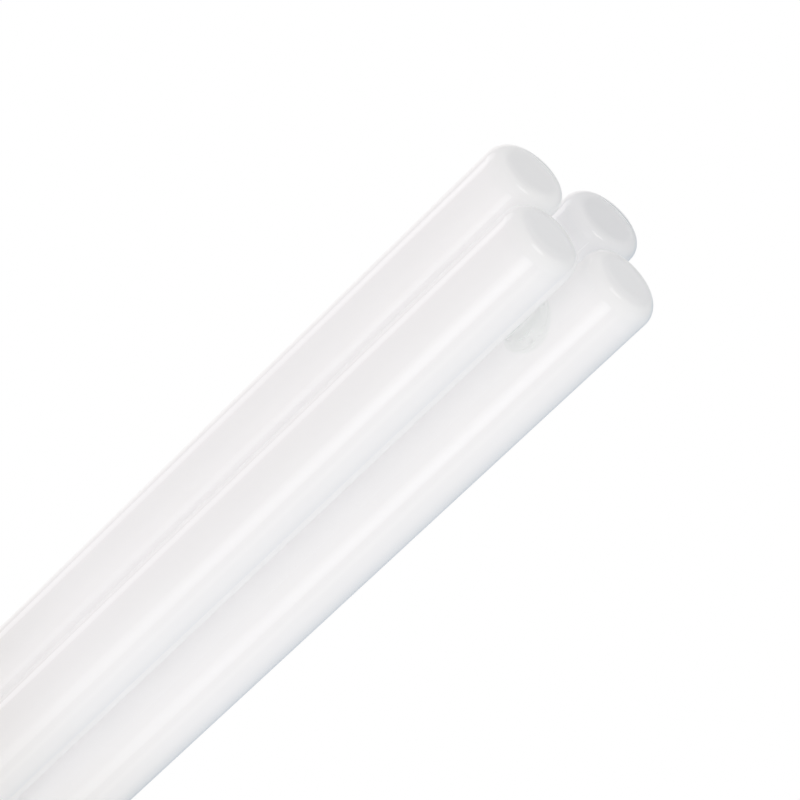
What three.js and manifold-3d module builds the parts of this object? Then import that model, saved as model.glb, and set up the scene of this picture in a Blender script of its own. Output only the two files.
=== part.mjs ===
// A plug-in fluorescent lamp: four white-coated glass tubes, joined in series by three short glass
// bridges, standing in a moulded cap with four contact pins and a centre post.
// Millimetres, +Z from the post towards the tube tips, origin in the middle of the post's end face.

import * as THREE from 'three';
import { mergeVertices } from 'three/addons/utils/BufferGeometryUtils.js';
import Module from 'manifold-3d';

// Clearance between neighbouring pieces, the closer one under a glass bridge, and how far a cutting
// shape runs past what it cuts
const fitGap = 0.3;
const bridgeSeatGap = 0.2;
const cutOverrun = 1;

// Glass tubes: a bridged pair lies along X, the two pairs lie side by side along Y
const tubeDiameter = 12;
const tubeWall = 0.9;
const rimRadius = 2.6;
const pairGap = 1.95;
const rowGap = 0.77;
const shownGlass = 141;
const seatedGlass = 11;

// Glass bridges: an oval neck that flares onto the tubes, with an oval bore
const tipBridgeDrop = 13.7;
const baseBridgeRise = 7;
const bridgeBoreWidth = 3;
const bridgeBoreHeight = 5;
const bridgeWall = 0.8;
const bridgeFlareWidth = 6.8;
const bridgeFlareHeight = 9;

// Stems that close the two electrode tubes, and plain end caps that close the other two
const stemFlangeThickness = 1.2;
const stemNeckDiameter = 5.2;
const stemNeckHeight = 2.6;
const pressWidth = 7.4;
const pressThickness = 2.8;
const pressHeight = 5;
const endCapThickness = 1.6;
const endCapCrown = 0.7;

// Exhaust tubes below the stems, and the amalgam pellet that one of them holds
const exhaustDiameter = 3;
const exhaustWall = 0.5;
const exhaustLength = 2.6;
const exhaustTip = 0.9;
const exhaustBoreDepth = 3.4;
const pelletDiameter = 1.4;

// Lead wires, electrode coils and auxiliary amalgam flags
const leadDiameter = 0.5;
const leadSpacing = 4.6;
const leadSplay = 7;
const leadTopOverhang = 0.8;
const electrodeRise = 12.5;
const splayRise = 3;
const splayRun = 3.5;
const coilWire = 0.4;
const coilDiameter = 1.6;
const coilPitch = 0.86;
const flagWidth = 2;
const flagHeight = 2.6;
const flagThickness = 0.2;
const flagRise = 8;

// Cap: the floor plate and the shell over it, whose skirt stands out past the collar round the tubes
const skirtStep = 1.825;
const capCornerRadius = 6.5;
const capHeight = 18;
const floorThickness = 2.2;
const shellWall = 1.5;
const skirtHeight = 12;
const shoulderHeight = 2.4;
const collarTopThickness = 1.6;
const collarLip = 0.4;
const collarEdgeRound = 0.7;
const spigotHeight = 3.4;
const spigotWall = 1.2;
const cementThickness = 3.4;
const webSlotWidth = 3;

// Centre post, which hangs through the floor on a flange, with its two catches and its coding ribs
const postLength = 23;
const postFlangeReach = 0.9;
const postFlangeThickness = 1;
const postDepth = 14;
const postCornerRadius = 1.6;
const postWall = 1.6;
const postEndChamfer = 1.1;
const catchWidth = 8;
const catchReach = 1.2;
const catchFoot = 8.5;
const catchNose = 12.4;
const catchHead = 13.4;
const ribWidth = 1.4;
const ribReach = 1.1;
const ribLength = 13;
const ribSpacing = 3.6;

// Contact pins
const pinDiameter = 2.4;
const pinLength = 6.8;
const pinTipRound = 0.8;
const pinFlangeDiameter = 3.6;
const pinFlangeThickness = 0.8;
const pinBoreDiameter = 1.3;
const pinBoreDepth = 4.5;
const pinInset = 5.5;
const pinToPost = 3;
const pinSpanY = 8;

// How finely round shapes are cut
const tubeSides = 36;
const bridgeSides = 24;
const smallSides = 16;
const wireSides = 6;
const coilSides = 5;
const coilStepsPerTurn = 8;
const rimSteps = 5;
const innerRimSteps = 3;
const cornerSteps = 6;
const leadSteps = 20;

// Distances between tube axes
const tubeRadius = tubeDiameter / 2;
const pairPitch = tubeDiameter + pairGap;
const rowPitch = tubeDiameter + rowGap;

// Levels above the post's end face
const seatLevel = postLength;
const floorLevel = seatLevel + floorThickness;
const skirtFootLevel = floorLevel + fitGap;
const skirtTopLevel = seatLevel + skirtHeight;
const shoulderLevel = skirtTopLevel + shoulderHeight;
const collarLevel = seatLevel + capHeight;
const tipLevel = collarLevel + shownGlass;
const tubeFootLevel = collarLevel - seatedGlass;
const tipBridgeLevel = tipLevel - tipBridgeDrop;
const baseBridgeLevel = collarLevel + baseBridgeRise;
const stemTopLevel = tubeFootLevel + stemFlangeThickness + stemNeckHeight + pressHeight;
const electrodeLevel = stemTopLevel + electrodeRise;
const pinTopLevel = floorLevel + fitGap + pinFlangeThickness;
const wiringLevel = (pinTopLevel + tubeFootLevel) / 2;

// Half sizes of the collar that the tubes leave through, and of the skirt
const tubeHoleRadius = tubeRadius + fitGap;
const collarHalfX = pairPitch / 2 + tubeHoleRadius + collarLip + shellWall;
const collarHalfY = rowPitch / 2 + tubeHoleRadius + collarLip + shellWall;
const capHalf = collarHalfX + skirtStep;
const skirtInnerHalf = capHalf - shellWall;

// The pins stand a set distance in from the cap's sides, and the post fills the space between them
const pinSpanX = 2 * (capHalf - pinInset);
const postWidth = pinSpanX - 2 * pinToPost;

// Corners of a rectangle, anticlockwise from above
const cornerSigns = [[1, 1], [-1, 1], [-1, -1], [1, -1]];

// Which side of the lamp each tube stands on: a and b hold the electrodes
const tubeSigns = { a: [-1, 1], b: [-1, -1], c: [1, 1], d: [1, -1] };
const electrodeTubes = ['a', 'b'];
const plainTubes = ['c', 'd'];

// Finishes
const finish = (color, roughness, metalness) =>
  new THREE.MeshStandardMaterial({ color, roughness, metalness });
const coatedGlass = finish('#f2f3f2', 0.08, 0);
const clearGlass = finish('#dfe7e2', 0.05, 0);
const whitePlastic = finish('#ece9e0', 0.45, 0);
const cementFinish = finish('#d9d4c6', 0.9, 0);
const pinMetal = finish('#cfc7a8', 0.3, 1);
const leadMetal = finish('#b9a48a', 0.35, 1);
const tungsten = finish('#6f6d6a', 0.5, 1);
const amalgamMetal = finish('#b4b6ba', 0.3, 1);

const lamp = new THREE.Group();

// Adds one named piece at its place
function addPiece(name, geometry, material, x = 0, y = 0, z = 0) {
  const mesh = new THREE.Mesh(geometry, material);
  mesh.name = name;
  mesh.position.set(x, y, z);
  lamp.add(mesh);
  return mesh;
}

function tubeCentre(letter) {
  const [signX, signY] = tubeSigns[letter];
  return [signX * pairPitch / 2, signY * rowPitch / 2];
}

const wasm = await Module();
wasm.setup();

// A geometry with merged corners as a solid that can be cut or joined
function solidOf(geometry) {
  const bare = geometry.index ? geometry.clone() : geometry;
  bare.deleteAttribute('normal');
  bare.deleteAttribute('uv');
  const merged = mergeVertices(bare);
  return new wasm.Manifold(new wasm.Mesh({
    numProp: 3,
    vertProperties: new Float32Array(merged.attributes.position.array),
    triVerts: new Uint32Array(merged.index.array),
  }));
}

function geometryOf(solid) {
  const mesh = solid.getMesh();
  const geometry = new THREE.BufferGeometry();
  geometry.setAttribute('position', new THREE.BufferAttribute(new Float32Array(mesh.vertProperties), 3));
  geometry.setIndex(new THREE.BufferAttribute(new Uint32Array(mesh.triVerts), 1));
  geometry.computeVertexNormals();
  return geometry;
}

// Some geometries joined, less some others
function carved(bodies, cutters) {
  const whole = bodies.map(solidOf).reduce((sum, body) => sum.add(body));
  return geometryOf(cutters.map(solidOf).reduce((rest, cutter) => rest.subtract(cutter), whole));
}

// A closed skin through rings of equally many points, with flat ends or wrapped round onto itself
function ringSkin(rings, wraps = false) {
  const count = rings[0].length;
  const points = rings.flat();
  const faces = [];
  const spans = wraps ? rings.length : rings.length - 1;
  for (let row = 0; row < spans; row += 1) {
    const above = (row + 1) % rings.length;
    for (let side = 0; side < count; side += 1) {
      const next = (side + 1) % count;
      const [a, b] = [row * count + side, row * count + next];
      const [c, d] = [above * count + next, above * count + side];
      faces.push(a, b, c, a, c, d);
    }
  }
  if (!wraps) {
    const middle = (ring) => ring.reduce((sum, p) => sum.add(p), new THREE.Vector3()).divideScalar(count);
    const last = (rings.length - 1) * count;
    points.push(middle(rings[0]), middle(rings[rings.length - 1]));
    for (let side = 0; side < count; side += 1) {
      const next = (side + 1) % count;
      faces.push(points.length - 2, next, side);
      faces.push(points.length - 1, last + side, last + next);
    }
  }
  const geometry = new THREE.BufferGeometry().setFromPoints(points);
  geometry.setIndex(faces);
  geometry.computeVertexNormals();
  return geometry;
}

// A solid of revolution about Z; its profile of radius and height runs from axis to axis,
// anticlockwise with the radius to the right
function turned(profile, sides) {
  const points = profile.map(([radius, height]) => new THREE.Vector2(radius, height));
  return new THREE.LatheGeometry(points, sides).rotateX(Math.PI / 2);
}

// Points on an arc in the radius and height plane, angles in turns
function arc(radius, centreRadius, centreHeight, fromTurn, toTurn, steps) {
  return Array.from({ length: steps + 1 }, (_, i) => {
    const angle = 2 * Math.PI * (fromTurn + (toTurn - fromTurn) * i / steps);
    return [centreRadius + radius * Math.cos(angle), centreHeight + radius * Math.sin(angle)];
  });
}

// A rectangle with round corners at one height, anticlockwise from above
function roundedRing(halfX, halfY, radius, z) {
  return cornerSigns.flatMap(([signX, signY], quarter) =>
    Array.from({ length: cornerSteps + 1 }, (_, i) => {
      const angle = (quarter + i / cornerSteps) * Math.PI / 2;
      const x = signX * (halfX - radius) + radius * Math.cos(angle);
      const y = signY * (halfY - radius) + radius * Math.sin(angle);
      return new THREE.Vector3(x, y, z);
    }));
}

// A stack of such rectangles as one solid
const roundedStack = (levels) => ringSkin(levels.map((level) => roundedRing(...level)));

function block(sizeX, sizeY, sizeZ, x, y, z) {
  return new THREE.BoxGeometry(sizeX, sizeY, sizeZ).translate(x, y, z);
}

function rod(diameter, bottom, top, x = 0, y = 0, sides = smallSides) {
  const height = top - bottom;
  const cylinder = new THREE.CylinderGeometry(diameter / 2, diameter / 2, height, sides);
  return cylinder.rotateX(Math.PI / 2).translate(x, y, bottom + height / 2);
}

// A round wire along a list of points: each ring stands square to the path there, and its first
// direction is carried along without twist
function wireAlong(points, diameter, sides) {
  const tangents = points.map((_, i) => {
    const [before, after] = [points[Math.max(i - 1, 0)], points[Math.min(i + 1, points.length - 1)]];
    return after.clone().sub(before).normalize();
  });
  const start = Math.abs(tangents[0].x) < Math.abs(tangents[0].z)
    ? new THREE.Vector3(1, 0, 0) : new THREE.Vector3(0, 0, 1);
  let across = start;
  return ringSkin(points.map((point, i) => {
    across = across.clone().addScaledVector(tangents[i], -across.dot(tangents[i])).normalize();
    const side = new THREE.Vector3().crossVectors(tangents[i], across);
    return Array.from({ length: sides }, (_, k) => {
      const angle = 2 * Math.PI * k / sides;
      return point.clone()
        .addScaledVector(across, diameter / 2 * Math.cos(angle))
        .addScaledVector(side, diameter / 2 * Math.sin(angle));
    });
  }));
}

// Glass bridge along X between two tubes a pitch apart, centred on its own middle. Each ring is an
// ellipse whose points are pushed along X onto the tubes' cylinders, so its ends hug the glass.
function bridge(pitch) {
  const hugRadius = tubeRadius + bridgeSeatGap;
  const reach = (y) => pitch / 2 - Math.sqrt(hugRadius ** 2 - y ** 2);
  const bore = [bridgeBoreWidth / 2, bridgeBoreHeight / 2];
  const neck = [bore[0] + bridgeWall, bore[1] + bridgeWall];
  const flare = [bridgeFlareWidth / 2, bridgeFlareHeight / 2];
  const mix = (from, to, share) => from.map((value, i) => value + (to[i] - value) * share);
  const ring = ([halfY, halfZ], run) => Array.from({ length: bridgeSides }, (_, i) => {
    const angle = 2 * Math.PI * i / bridgeSides;
    const y = halfY * Math.cos(angle);
    return new THREE.Vector3(run * reach(y), y, halfZ * Math.sin(angle));
  });
  const runShares = [-1, -0.85, -0.55, 0, 0.55, 0.85, 1];
  const faceShares = [0.65, 0.3];
  const flareShare = (run) => Math.abs(run) ** 3;
  const outside = runShares.map((run) => ring(mix(neck, flare, flareShare(run)), run));
  const face = (run, shares) => shares.map((share) => ring(mix(bore, flare, share), run));
  const boreRings = [ring(bore, 1), ring(bore, -1)];
  return ringSkin([...outside, ...face(1, faceShares), ...boreRings,
    ...face(-1, [...faceShares].reverse())], true);
}

// Oval cutter along X from one tube's axis to the other's, centred between them
function bridgeBore(pitch) {
  return new THREE.CylinderGeometry(1, 1, 1, bridgeSides)
    .rotateZ(Math.PI / 2)
    .scale(pitch, bridgeBoreWidth / 2, bridgeBoreHeight / 2);
}

// One glass tube on its own axis: flat round-rimmed tip, open foot, a side hole for each bridge
function glassTube(letter) {
  const [signX, signY] = tubeSigns[letter];
  const rimCentre = [tubeRadius - rimRadius, tipLevel - rimRadius];
  const innerRadius = tubeRadius - tubeWall;
  const cup = turned([
    [0, tipLevel - tubeWall],
    ...arc(rimRadius - tubeWall, ...rimCentre, 0.25, 0, innerRimSteps),
    [innerRadius, tubeFootLevel],
    [tubeRadius, tubeFootLevel],
    ...arc(rimRadius, ...rimCentre, 0, 0.25, rimSteps),
    [0, tipLevel],
  ], tubeSides);
  const cutters = [bridgeBore(pairPitch).translate(-signX * pairPitch / 2, 0, tipBridgeLevel)];
  if (plainTubes.includes(letter)) {
    cutters.push(bridgeBore(rowPitch).rotateZ(Math.PI / 2)
      .translate(0, -signY * rowPitch / 2, baseBridgeLevel));
  }
  return carved([cup], cutters);
}

for (const letter of Object.keys(tubeSigns)) {
  addPiece(`glass_tube_${letter}`, glassTube(letter), coatedGlass, ...tubeCentre(letter));
}
addPiece('tip_bridge_ac', bridge(pairPitch), clearGlass, 0, rowPitch / 2, tipBridgeLevel);
addPiece('tip_bridge_bd', bridge(pairPitch), clearGlass, 0, -rowPitch / 2, tipBridgeLevel);
addPiece('base_bridge_cd', bridge(rowPitch).rotateZ(Math.PI / 2), clearGlass,
  pairPitch / 2, 0, baseBridgeLevel);

// Stem: flange in the tube's foot, neck and flat press, two wire holes and a bore for pumping out,
// which opens sideways above the flange
function stem() {
  const flangeRadius = tubeRadius - tubeWall - fitGap;
  const neckRadius = stemNeckDiameter / 2;
  const neckFoot = tubeFootLevel + stemFlangeThickness;
  const neckTop = neckFoot + stemNeckHeight;
  const flare = turned([
    [0, tubeFootLevel],
    [flangeRadius, tubeFootLevel],
    [flangeRadius, neckFoot],
    [neckRadius, neckTop],
    [0, neckTop],
  ], smallSides);
  const press = block(pressWidth, pressThickness, stemTopLevel - neckFoot,
    0, 0, (stemTopLevel + neckFoot) / 2);
  const holeDiameter = leadDiameter + 2 * fitGap;
  const wireHole = (sign) => rod(holeDiameter, tubeFootLevel - cutOverrun, stemTopLevel + cutOverrun,
    sign * leadSpacing / 2, 0, wireSides);
  const pumpDiameter = exhaustDiameter - 2 * exhaustWall;
  const pumpTop = tubeFootLevel + exhaustBoreDepth;
  const pumpBore = rod(pumpDiameter, tubeFootLevel - cutOverrun, pumpTop);
  const ventHeight = pumpTop - neckFoot;
  const vent = block(ventHeight, tubeDiameter, ventHeight, 0, 0, pumpTop - ventHeight / 2);
  return carved([flare, press], [wireHole(-1), wireHole(1), pumpBore, vent]);
}

function exhaustTube() {
  const top = tubeFootLevel - fitGap;
  const bottom = top - exhaustLength;
  const radius = exhaustDiameter / 2;
  return turned([
    [0, bottom],
    [radius, bottom + exhaustTip],
    [radius, top],
    [radius - exhaustWall, top],
    [radius - exhaustWall, bottom + exhaustTip + exhaustWall],
    [0, bottom + exhaustTip],
  ], smallSides);
}

// The pellet rests in the pointed bottom of its exhaust tube
function pellet() {
  const level = tubeFootLevel - fitGap - exhaustLength + exhaustTip + exhaustWall + fitGap
    + pelletDiameter / 2;
  return new THREE.SphereGeometry(pelletDiameter / 2, smallSides, smallSides / 2)
    .rotateX(Math.PI / 2).translate(0, 0, level);
}

// Plain glass cap with a low crown inside, in the foot of a tube that has no electrode
function endCap() {
  const radius = tubeRadius - tubeWall - fitGap;
  const top = tubeFootLevel + endCapThickness;
  return turned([
    [0, tubeFootLevel],
    [radius, tubeFootLevel],
    [radius, top],
    [radius / 2, top + endCapCrown],
    [0, top + endCapCrown],
  ], smallSides);
}

for (const letter of electrodeTubes) {
  addPiece(`stem_${letter}`, stem(), clearGlass, ...tubeCentre(letter));
  addPiece(`exhaust_tube_${letter}`, exhaustTube(), clearGlass, ...tubeCentre(letter));
}
addPiece('amalgam_pellet', pellet(), amalgamMetal, ...tubeCentre(electrodeTubes[0]));
for (const letter of plainTubes) {
  addPiece(`end_cap_${letter}`, endCap(), clearGlass, ...tubeCentre(letter));
}

// Electrode coil along X between its two leads: a helix whose radius closes to the axis over the
// first and last half turn, with a straight end one wire thick
const coilSpan = leadSplay - leadDiameter - 2 * fitGap;
function coilPath() {
  const windingSpan = coilSpan - 2 * coilWire;
  const turns = Math.floor(windingSpan / coilPitch);
  const steps = turns * coilStepsPerTurn;
  const meanRadius = (coilDiameter - coilWire) / 2;
  const winding = Array.from({ length: steps + 1 }, (_, i) => {
    const turn = i / coilStepsPerTurn;
    const closing = Math.min(1, 2 * turn, 2 * (turns - turn));
    const radius = meanRadius * Math.sin(closing * Math.PI / 2);
    const angle = 2 * Math.PI * turn;
    const x = windingSpan * (i / steps - 1 / 2);
    return new THREE.Vector3(x, radius * Math.cos(angle), electrodeLevel + radius * Math.sin(angle));
  });
  const end = (sign) => new THREE.Vector3(sign * coilSpan / 2, 0, electrodeLevel);
  return [end(-1), ...winding, end(1)];
}

// Least gap between two stretches of the coil that lie at least half a turn apart
function leastCoilGap(path) {
  const apart = coilStepsPerTurn / 2 + 1;
  let least = Infinity;
  for (let i = 0; i < path.length; i += 1) {
    for (let j = i + apart; j < path.length; j += 1) {
      least = Math.min(least, path[i].distanceTo(path[j]) - coilWire);
    }
  }
  return least;
}

// Lead wire: beside the coil's end, down through the press, then under the tubes to its pin
function leadPath(letter, sign) {
  const [tubeX, tubeY] = tubeCentre(letter);
  const pinX = sign * pinSpanX / 2;
  const pinY = tubeSigns[letter][1] * pinSpanY / 2;
  const topX = tubeX + sign * leadSplay / 2;
  const pressX = tubeX + sign * leadSpacing / 2;
  const splayTop = stemTopLevel + splayRise + splayRun;
  const bend = leadDiameter + fitGap;
  const towardsPin = new THREE.Vector3(pinX - pressX, pinY - tubeY, 0).normalize().multiplyScalar(bend);
  const route = [
    [topX, tubeY, electrodeLevel + leadTopOverhang],
    [topX, tubeY, (electrodeLevel + splayTop) / 2],
    [topX, tubeY, splayTop],
    [pressX, tubeY, stemTopLevel + splayRise],
    [pressX, tubeY, stemTopLevel],
    [pressX, tubeY, (stemTopLevel + tubeFootLevel) / 2],
    [pressX, tubeY, tubeFootLevel],
    [pressX, tubeY, wiringLevel + bend],
    [pressX + towardsPin.x, tubeY + towardsPin.y, wiringLevel],
    [pinX - towardsPin.x, pinY - towardsPin.y, wiringLevel],
    [pinX, pinY, pinTopLevel + fitGap],
    [pinX, pinY, pinTopLevel - pinBoreDepth / 2],
    [pinX, pinY, pinTopLevel - pinBoreDepth + fitGap],
  ];
  return route.map((place) => new THREE.Vector3(...place));
}

// Small metal flag beside one lead of each electrode
function flag() {
  const offset = leadDiameter / 2 + fitGap + flagThickness / 2;
  const level = stemTopLevel + flagRise;
  return block(flagWidth, flagThickness, flagHeight, leadSplay / 2 - flagWidth / 2, offset, level);
}

const coil = coilPath();
console.log(`least gap between the electrode coil's turns: ${leastCoilGap(coil).toFixed(3)} mm`);
for (const letter of electrodeTubes) {
  const centre = tubeCentre(letter);
  addPiece(`electrode_coil_${letter}`, wireAlong(coil, coilWire, coilSides), tungsten, ...centre);
  addPiece(`amalgam_flag_${letter}`, flag(), amalgamMetal, ...centre);
  for (const [side, sign] of [['near', -1], ['far', 1]]) {
    const smooth = new THREE.CatmullRomCurve3(leadPath(letter, sign), false, 'centripetal');
    const wire = wireAlong(smooth.getPoints(leadSteps), leadDiameter, wireSides);
    addPiece(`lead_wire_${letter}_${side}`, wire, leadMetal);
  }
}

// The four tube holes, and slots that clear the slivers between the two rows
function tubeHoleCutters(bottom, top) {
  const slotHeight = top - bottom;
  const holes = Object.keys(tubeSigns).map((letter) =>
    rod(2 * tubeHoleRadius, bottom, top, ...tubeCentre(letter), tubeSides));
  const slots = [-1, 1].map((sign) => block(webSlotWidth, rowPitch - tubeRadius, slotHeight,
    sign * pairPitch / 2, 0, bottom + slotHeight / 2));
  return [...holes, ...slots];
}

// Shell: square skirt, sloped shoulder and a collar whose top is pierced for the tubes
function capShell() {
  const collarRadius = tubeHoleRadius + collarLip + shellWall;
  const collarRing = (inset, z) =>
    [collarHalfX - inset, collarHalfY - inset, collarRadius - inset, z];
  const skirtRing = (inset, z) => [capHalf - inset, capHalf - inset, capCornerRadius - inset, z];
  const outside = roundedStack([
    skirtRing(0, skirtFootLevel),
    skirtRing(0, skirtTopLevel - collarEdgeRound),
    skirtRing(collarEdgeRound / 2, skirtTopLevel),
    collarRing(0, shoulderLevel),
    collarRing(0, collarLevel - collarEdgeRound),
    collarRing(collarEdgeRound / 4, collarLevel - collarEdgeRound / 4),
    collarRing(collarEdgeRound, collarLevel),
  ]);
  const ceiling = collarLevel - collarTopThickness;
  const cavity = roundedStack([
    skirtRing(shellWall, skirtFootLevel - cutOverrun),
    skirtRing(shellWall, skirtTopLevel - shellWall / 2),
    collarRing(shellWall, shoulderLevel - shellWall / 2),
    collarRing(shellWall, ceiling),
  ]);
  const holes = tubeHoleCutters(ceiling - cutOverrun, collarLevel + cutOverrun);
  return carved([outside], [cavity, ...holes]);
}

// Cement bed round the tubes' feet, inside the skirt
function cementBed() {
  const half = skirtInnerHalf - fitGap;
  const corner = capCornerRadius - shellWall - fitGap;
  const bottom = tubeFootLevel + fitGap;
  const top = bottom + cementThickness;
  const bed = roundedStack([[half, half, corner, bottom], [half, half, corner, top]]);
  return carved([bed], tubeHoleCutters(bottom - cutOverrun, top + cutOverrun));
}

// Catch on the post's +Y face: a ramp that ends in a steep shoulder
function postCatch() {
  const root = postDepth / 2 - postWall / 2;
  const face = postDepth / 2;
  const outline = new THREE.Shape([
    new THREE.Vector2(root, catchFoot),
    new THREE.Vector2(face, catchFoot),
    new THREE.Vector2(face + catchReach, catchNose),
    new THREE.Vector2(face, catchHead),
    new THREE.Vector2(root, catchHead),
  ]);
  const side = new THREE.ExtrudeGeometry(outline, { depth: catchWidth, bevelEnabled: false });
  return side.translate(0, 0, -catchWidth / 2).rotateY(Math.PI / 2).rotateX(Math.PI / 2);
}

// Coding rib on a side face of the post, ending just below the floor
function codingRib(signX, y) {
  const thickness = ribReach + postWall / 2;
  const x = signX * (postWidth / 2 + ribReach - thickness / 2);
  return block(thickness, ribWidth, ribLength, x, y, seatLevel - fitGap - ribLength / 2);
}

const postRing = (inset, z) =>
  [postWidth / 2 - inset, postDepth / 2 - inset, postCornerRadius - inset / 2, z];

// Floor plate with its spigot, the hole for the post and the pin holes
function capFloor() {
  const plate = roundedStack([
    [capHalf - collarEdgeRound, capHalf - collarEdgeRound, capCornerRadius - collarEdgeRound, seatLevel],
    [capHalf, capHalf, capCornerRadius, seatLevel + collarEdgeRound],
    [capHalf, capHalf, capCornerRadius, floorLevel],
  ]);
  const spigotHalf = skirtInnerHalf - fitGap;
  const spigotCorner = capCornerRadius - shellWall - fitGap;
  const spigotRing = (inset, z) =>
    [spigotHalf - inset, spigotHalf - inset, spigotCorner - inset, z];
  const spigot = roundedStack([
    spigotRing(0, floorLevel - floorThickness / 2),
    spigotRing(0, floorLevel + spigotHeight),
  ]);
  const spigotSpace = roundedStack([
    spigotRing(spigotWall, floorLevel),
    spigotRing(spigotWall, floorLevel + spigotHeight + cutOverrun),
  ]);
  const postHole = roundedStack([
    postRing(-fitGap, seatLevel - cutOverrun),
    postRing(-fitGap, floorLevel + cutOverrun),
  ]);
  const pinHoles = pinPlaces().map(([x, y]) =>
    rod(pinDiameter + 2 * fitGap, seatLevel - cutOverrun, floorLevel + cutOverrun, x, y));
  return carved([plate, spigot], [spigotSpace, postHole, ...pinHoles]);
}

// Hollow post, open towards the tubes, with its flange above the floor
function centrePost() {
  const flangeFoot = floorLevel + fitGap;
  const flangeTop = flangeFoot + postFlangeThickness;
  const post = roundedStack([
    postRing(postEndChamfer, 0),
    postRing(0, postEndChamfer),
    postRing(0, flangeFoot),
    postRing(-postFlangeReach, flangeFoot),
    postRing(-postFlangeReach, flangeTop),
  ]);
  const hollow = roundedStack([
    postRing(postWall, postWall),
    postRing(postWall, flangeTop + cutOverrun),
  ]);
  const ribs = [codingRib(1, ribSpacing / 2), codingRib(1, -ribSpacing / 2), codingRib(-1, 0)];
  const catches = [postCatch(), postCatch().rotateZ(Math.PI)];
  return carved([post, ...ribs, ...catches], [hollow]);
}

function pinPlaces() {
  return cornerSigns.map(([signX, signY]) => [signX * pinSpanX / 2, signY * pinSpanY / 2]);
}

// Contact pin: round tip, flange above the floor, and a bore that takes its lead wire
function contactPin() {
  const radius = pinDiameter / 2;
  const tip = seatLevel - pinLength;
  const flangeFoot = floorLevel + fitGap;
  return turned([
    [0, tip],
    ...arc(pinTipRound, radius - pinTipRound, tip + pinTipRound, -0.25, 0, innerRimSteps),
    [radius, flangeFoot],
    [pinFlangeDiameter / 2, flangeFoot],
    [pinFlangeDiameter / 2, pinTopLevel],
    [pinBoreDiameter / 2, pinTopLevel],
    [pinBoreDiameter / 2, pinTopLevel - pinBoreDepth],
    [0, pinTopLevel - pinBoreDepth],
  ], smallSides);
}

addPiece('cap_shell', capShell(), whitePlastic);
addPiece('cap_floor', capFloor(), whitePlastic);
addPiece('centre_post', centrePost(), whitePlastic);
addPiece('cement_bed', cementBed(), cementFinish);
pinPlaces().forEach(([x, y], i) => {
  addPiece(`contact_pin_${i + 1}`, contactPin(), pinMetal, x, y);
});

export default lamp;
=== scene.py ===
"""Looks of a plug-in fluorescent lamp: four glass tubes with a white coating inside, three clear
glass bridges, and a moulded cap with a centre post and four contact pins.

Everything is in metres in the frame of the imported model: +Z runs from the post towards the tube
tips, and the origin lies in the middle of the post's end face.
"""
import math

import bmesh
import bpy
import numpy as np
from mathutils import Matrix, Vector


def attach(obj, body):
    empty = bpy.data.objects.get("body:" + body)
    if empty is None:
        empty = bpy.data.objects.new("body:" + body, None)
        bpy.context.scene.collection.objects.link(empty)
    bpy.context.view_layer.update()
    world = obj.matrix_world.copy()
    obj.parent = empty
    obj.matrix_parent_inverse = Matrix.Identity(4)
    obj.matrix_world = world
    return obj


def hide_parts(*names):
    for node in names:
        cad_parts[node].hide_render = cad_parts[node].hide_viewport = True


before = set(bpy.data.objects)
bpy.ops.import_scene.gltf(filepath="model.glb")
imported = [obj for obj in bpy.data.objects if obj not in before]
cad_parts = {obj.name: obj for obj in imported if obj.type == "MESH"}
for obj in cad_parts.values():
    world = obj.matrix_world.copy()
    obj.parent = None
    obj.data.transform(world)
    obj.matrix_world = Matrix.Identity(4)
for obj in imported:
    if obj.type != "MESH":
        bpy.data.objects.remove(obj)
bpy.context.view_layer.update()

MM = 0.001

# Glass tubes
TUBE_RADIUS = 6.0 * MM
TUBE_WALL = 0.9 * MM
RIM_RADII = {"a": 2.4 * MM, "b": 2.6 * MM, "c": 2.2 * MM, "d": 2.65 * MM}
PAIR_PITCH = 13.95 * MM
ROW_PITCH = 12.77 * MM
TUBE_FOOT = 30.0 * MM
FOOT_ROUND = 0.2 * MM
TUBE_TIP = 181.8 * MM
TUBE_SIDES = 144
TUBE_PLACES = {
    "a": (-PAIR_PITCH / 2, ROW_PITCH / 2),
    "b": (-PAIR_PITCH / 2, -ROW_PITCH / 2),
    "c": (PAIR_PITCH / 2, ROW_PITCH / 2),
    "d": (PAIR_PITCH / 2, -ROW_PITCH / 2),
}
# How far each closed end is from square: its height above TUBE_TIP, and its rise per metre across
TIP_UNEVENNESS = {"a": (-0.25 * MM, 0.066), "b": (0.0, 0.0), "c": (-0.55 * MM, 0.052),
                  "d": (0.06 * MM, -0.035)}
RISE_DIRECTION = (0.984, -0.179)
UNEVEN_FROM, UNEVEN_FULL = 172 * MM, 179 * MM

# Coating inside the tubes. It overlaps the glass slightly, so that no gap shows between them
COAT_OVERLAP = 0.02 * MM
COAT_THICKNESS = 0.03 * MM
COAT_FOOT = TUBE_FOOT + 3 * MM
COAT_SIDES = 96

# Tones of the coating, and where each of them starts and is full
COAT_WHITES = ((0.994, 0.992, 0.992), (0.986, 0.984, 0.985))
COAT_CLOUD = 3 * MM
# Greyer towards the foot of the tubes, less where the tubes face each other
FOOT_TONE = (0.89, 0.883, 0.862)
FOOT_HEIGHTS = (92 * MM, 50 * MM)
FOOT_REACH = (6.5 * MM, 14.8 * MM)
# Painted shade on the coating round the rims of the tips
RIM_SHADE_TONE = (0.968, 0.969, 0.969)
RIM_SHADE_HEIGHTS = (TUBE_TIP - 4.6 * MM, TUBE_TIP - 2.2 * MM)
# Painted shade on the flat discs at the tips
DISC_SHADE_TONE = (0.911, 0.912, 0.917)
# Lighter painted shade on the discs of the front tubes b and d
FRONT_DISC_LIT_TONE = (0.931, 0.933, 0.941)
DISC_RADII = (4.35 * MM, 3.45 * MM)
DISC_ABOVE = TUBE_TIP - 1.8 * MM
# Bare greenish glass round the bridges, greyed by painted shade of the tube's inside seen through
# it
WELD_GLASS_AND_SHADE_TONE = (0.935, 0.946, 0.938)
WELD_HALF = (3.15 * MM, 4.3 * MM)
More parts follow.
